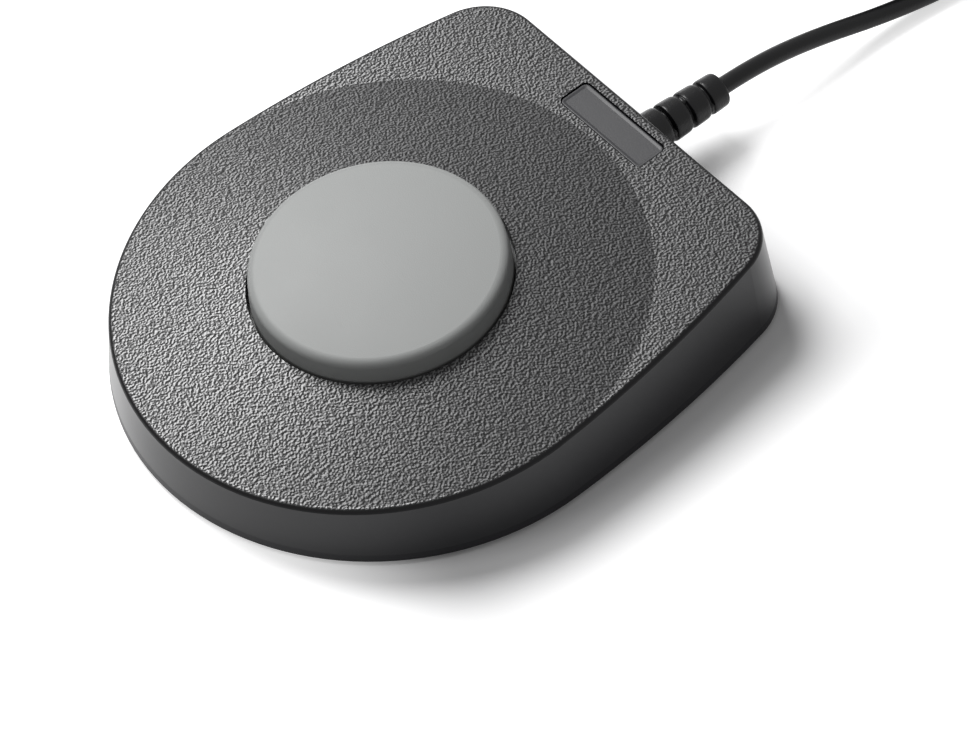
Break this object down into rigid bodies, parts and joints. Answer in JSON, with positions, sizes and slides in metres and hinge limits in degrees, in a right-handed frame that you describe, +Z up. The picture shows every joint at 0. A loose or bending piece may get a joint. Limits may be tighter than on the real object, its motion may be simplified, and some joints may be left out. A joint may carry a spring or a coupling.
{
  "type": "usb foot pedal switch",
  "caption": "Low D-shaped foot switch with a round sprung button, a lever-operated snap switch inside and a lead ending in a plug.",
  "frame": {"origin": "On the floor under the middle of the case, measured without the lead.", "axes": "+Z up, +Y towards the back edge and the cable, +X to the right seen from the front."},
  "size_m": [0.0848, 0.2557, 0.0192],
  "materials": {
    "case_plastic": "satin side, coarse moulded grain on top",
    "cover_plastic": "matte moulded",
    "cap_plastic": "satin moulded",
    "plate_plastic": "smooth satin",
    "spring_steel": "drawn wire",
    "screw_steel": "zinc plated",
    "foot_rubber": "matte",
    "pad_rubber": "matte",
    "board_laminate": "glass fibre with green solder mask",
    "switch_plastic": "moulded",
    "plunger_plastic": "moulded",
    "contact_metal": "tin plated",
    "chip_plastic": "moulded",
    "can_metal": "satin",
    "ceramic": "fired",
    "resistor_body": "glazed",
    "connector_plastic": "moulded",
    "wire_red": "insulation",
    "wire_white": "insulation",
    "wire_green": "insulation",
    "wire_black": "insulation",
    "clamp_plastic": "moulded",
    "cable_jacket": "soft satin jacket",
    "relief_rubber": "moulded, satin",
    "plug_plastic": "moulded over the shell",
    "shell_metal": "nickel plated",
    "tongue_plastic": "moulded",
    "contact_gold": "gold plated"
  },
  "bodies": {
    "case": {"board_header": "connector_plastic", "board_screws": "screw_steel", "bottom_cover": "cover_plastic", "cable_clamp": "clamp_plastic", "cable_inside": "cable_jacket", "case_screws": "screw_steel", "ceramic_capacitors": "ceramic", "chip_leads": "contact_metal", "circuit_board": "board_laminate", "clamp_screws": "screw_steel", "controller_chip": "chip_plastic", "cord_coil": "cable_jacket", "cord_lead": "cable_jacket", "cord_tail": "cable_jacket", "crystal": "can_metal", "electrolytic_capacitor": "can_metal", "header_pins": "contact_metal", "name_plate": "plate_plastic", "plug_body": "plug_plastic", "plug_contacts": "contact_gold", "plug_shell": "shell_metal", "plug_tongue": "tongue_plastic", "resistors": "resistor_body", "return_spring": "spring_steel", "rubber_foot_1": "foot_rubber", "rubber_foot_2": "foot_rubber", "rubber_foot_3": "foot_rubber", "rubber_foot_4": "foot_rubber", "stop_pad_1": "pad_rubber", "stop_pad_2": "pad_rubber", "stop_pad_3": "pad_rubber", "strain_relief": "relief_rubber", "switch_body": "switch_plastic", "switch_terminals": "contact_metal", "top_housing": "case_plastic", "wire_black": "wire_black", "wire_green": "wire_green", "wire_plug": "connector_plastic", "wire_red": "wire_red", "wire_white": "wire_white"},
    "pedal": {"pedal_cap": "cap_plastic"},
    "lever": {"switch_lever": "spring_steel"},
    "plunger": {"switch_plunger": "plunger_plastic"}
  },
  "joints": [
    {"name": "pedal_press", "type": "slide", "parent": "case", "child": "pedal", "axis": [0, 0.061, -0.9981], "range_m": [0, 0.0025], "stiffness_N_per_m": 900, "springref_m": -0.003, "deforming": ["return_spring"]},
    {"name": "lever_turn", "type": "hinge", "parent": "case", "child": "lever", "pos_m": [-0.0052, 0.0081, 0.0129], "axis": [0, 1, 0], "range_deg": [0, 13.77]},
    {"name": "plunger_slide", "type": "slide", "parent": "case", "child": "plunger", "axis": [0, 0, -1], "range_m": [0, 0.000866]}
  ],
  "couplings": [
    {"joint": "lever_turn", "follows": "pedal_press", "rad_per_m": 95.971},
    {"joint": "plunger_slide", "follows": "pedal_press", "ratio": 0.3425}
  ]
}
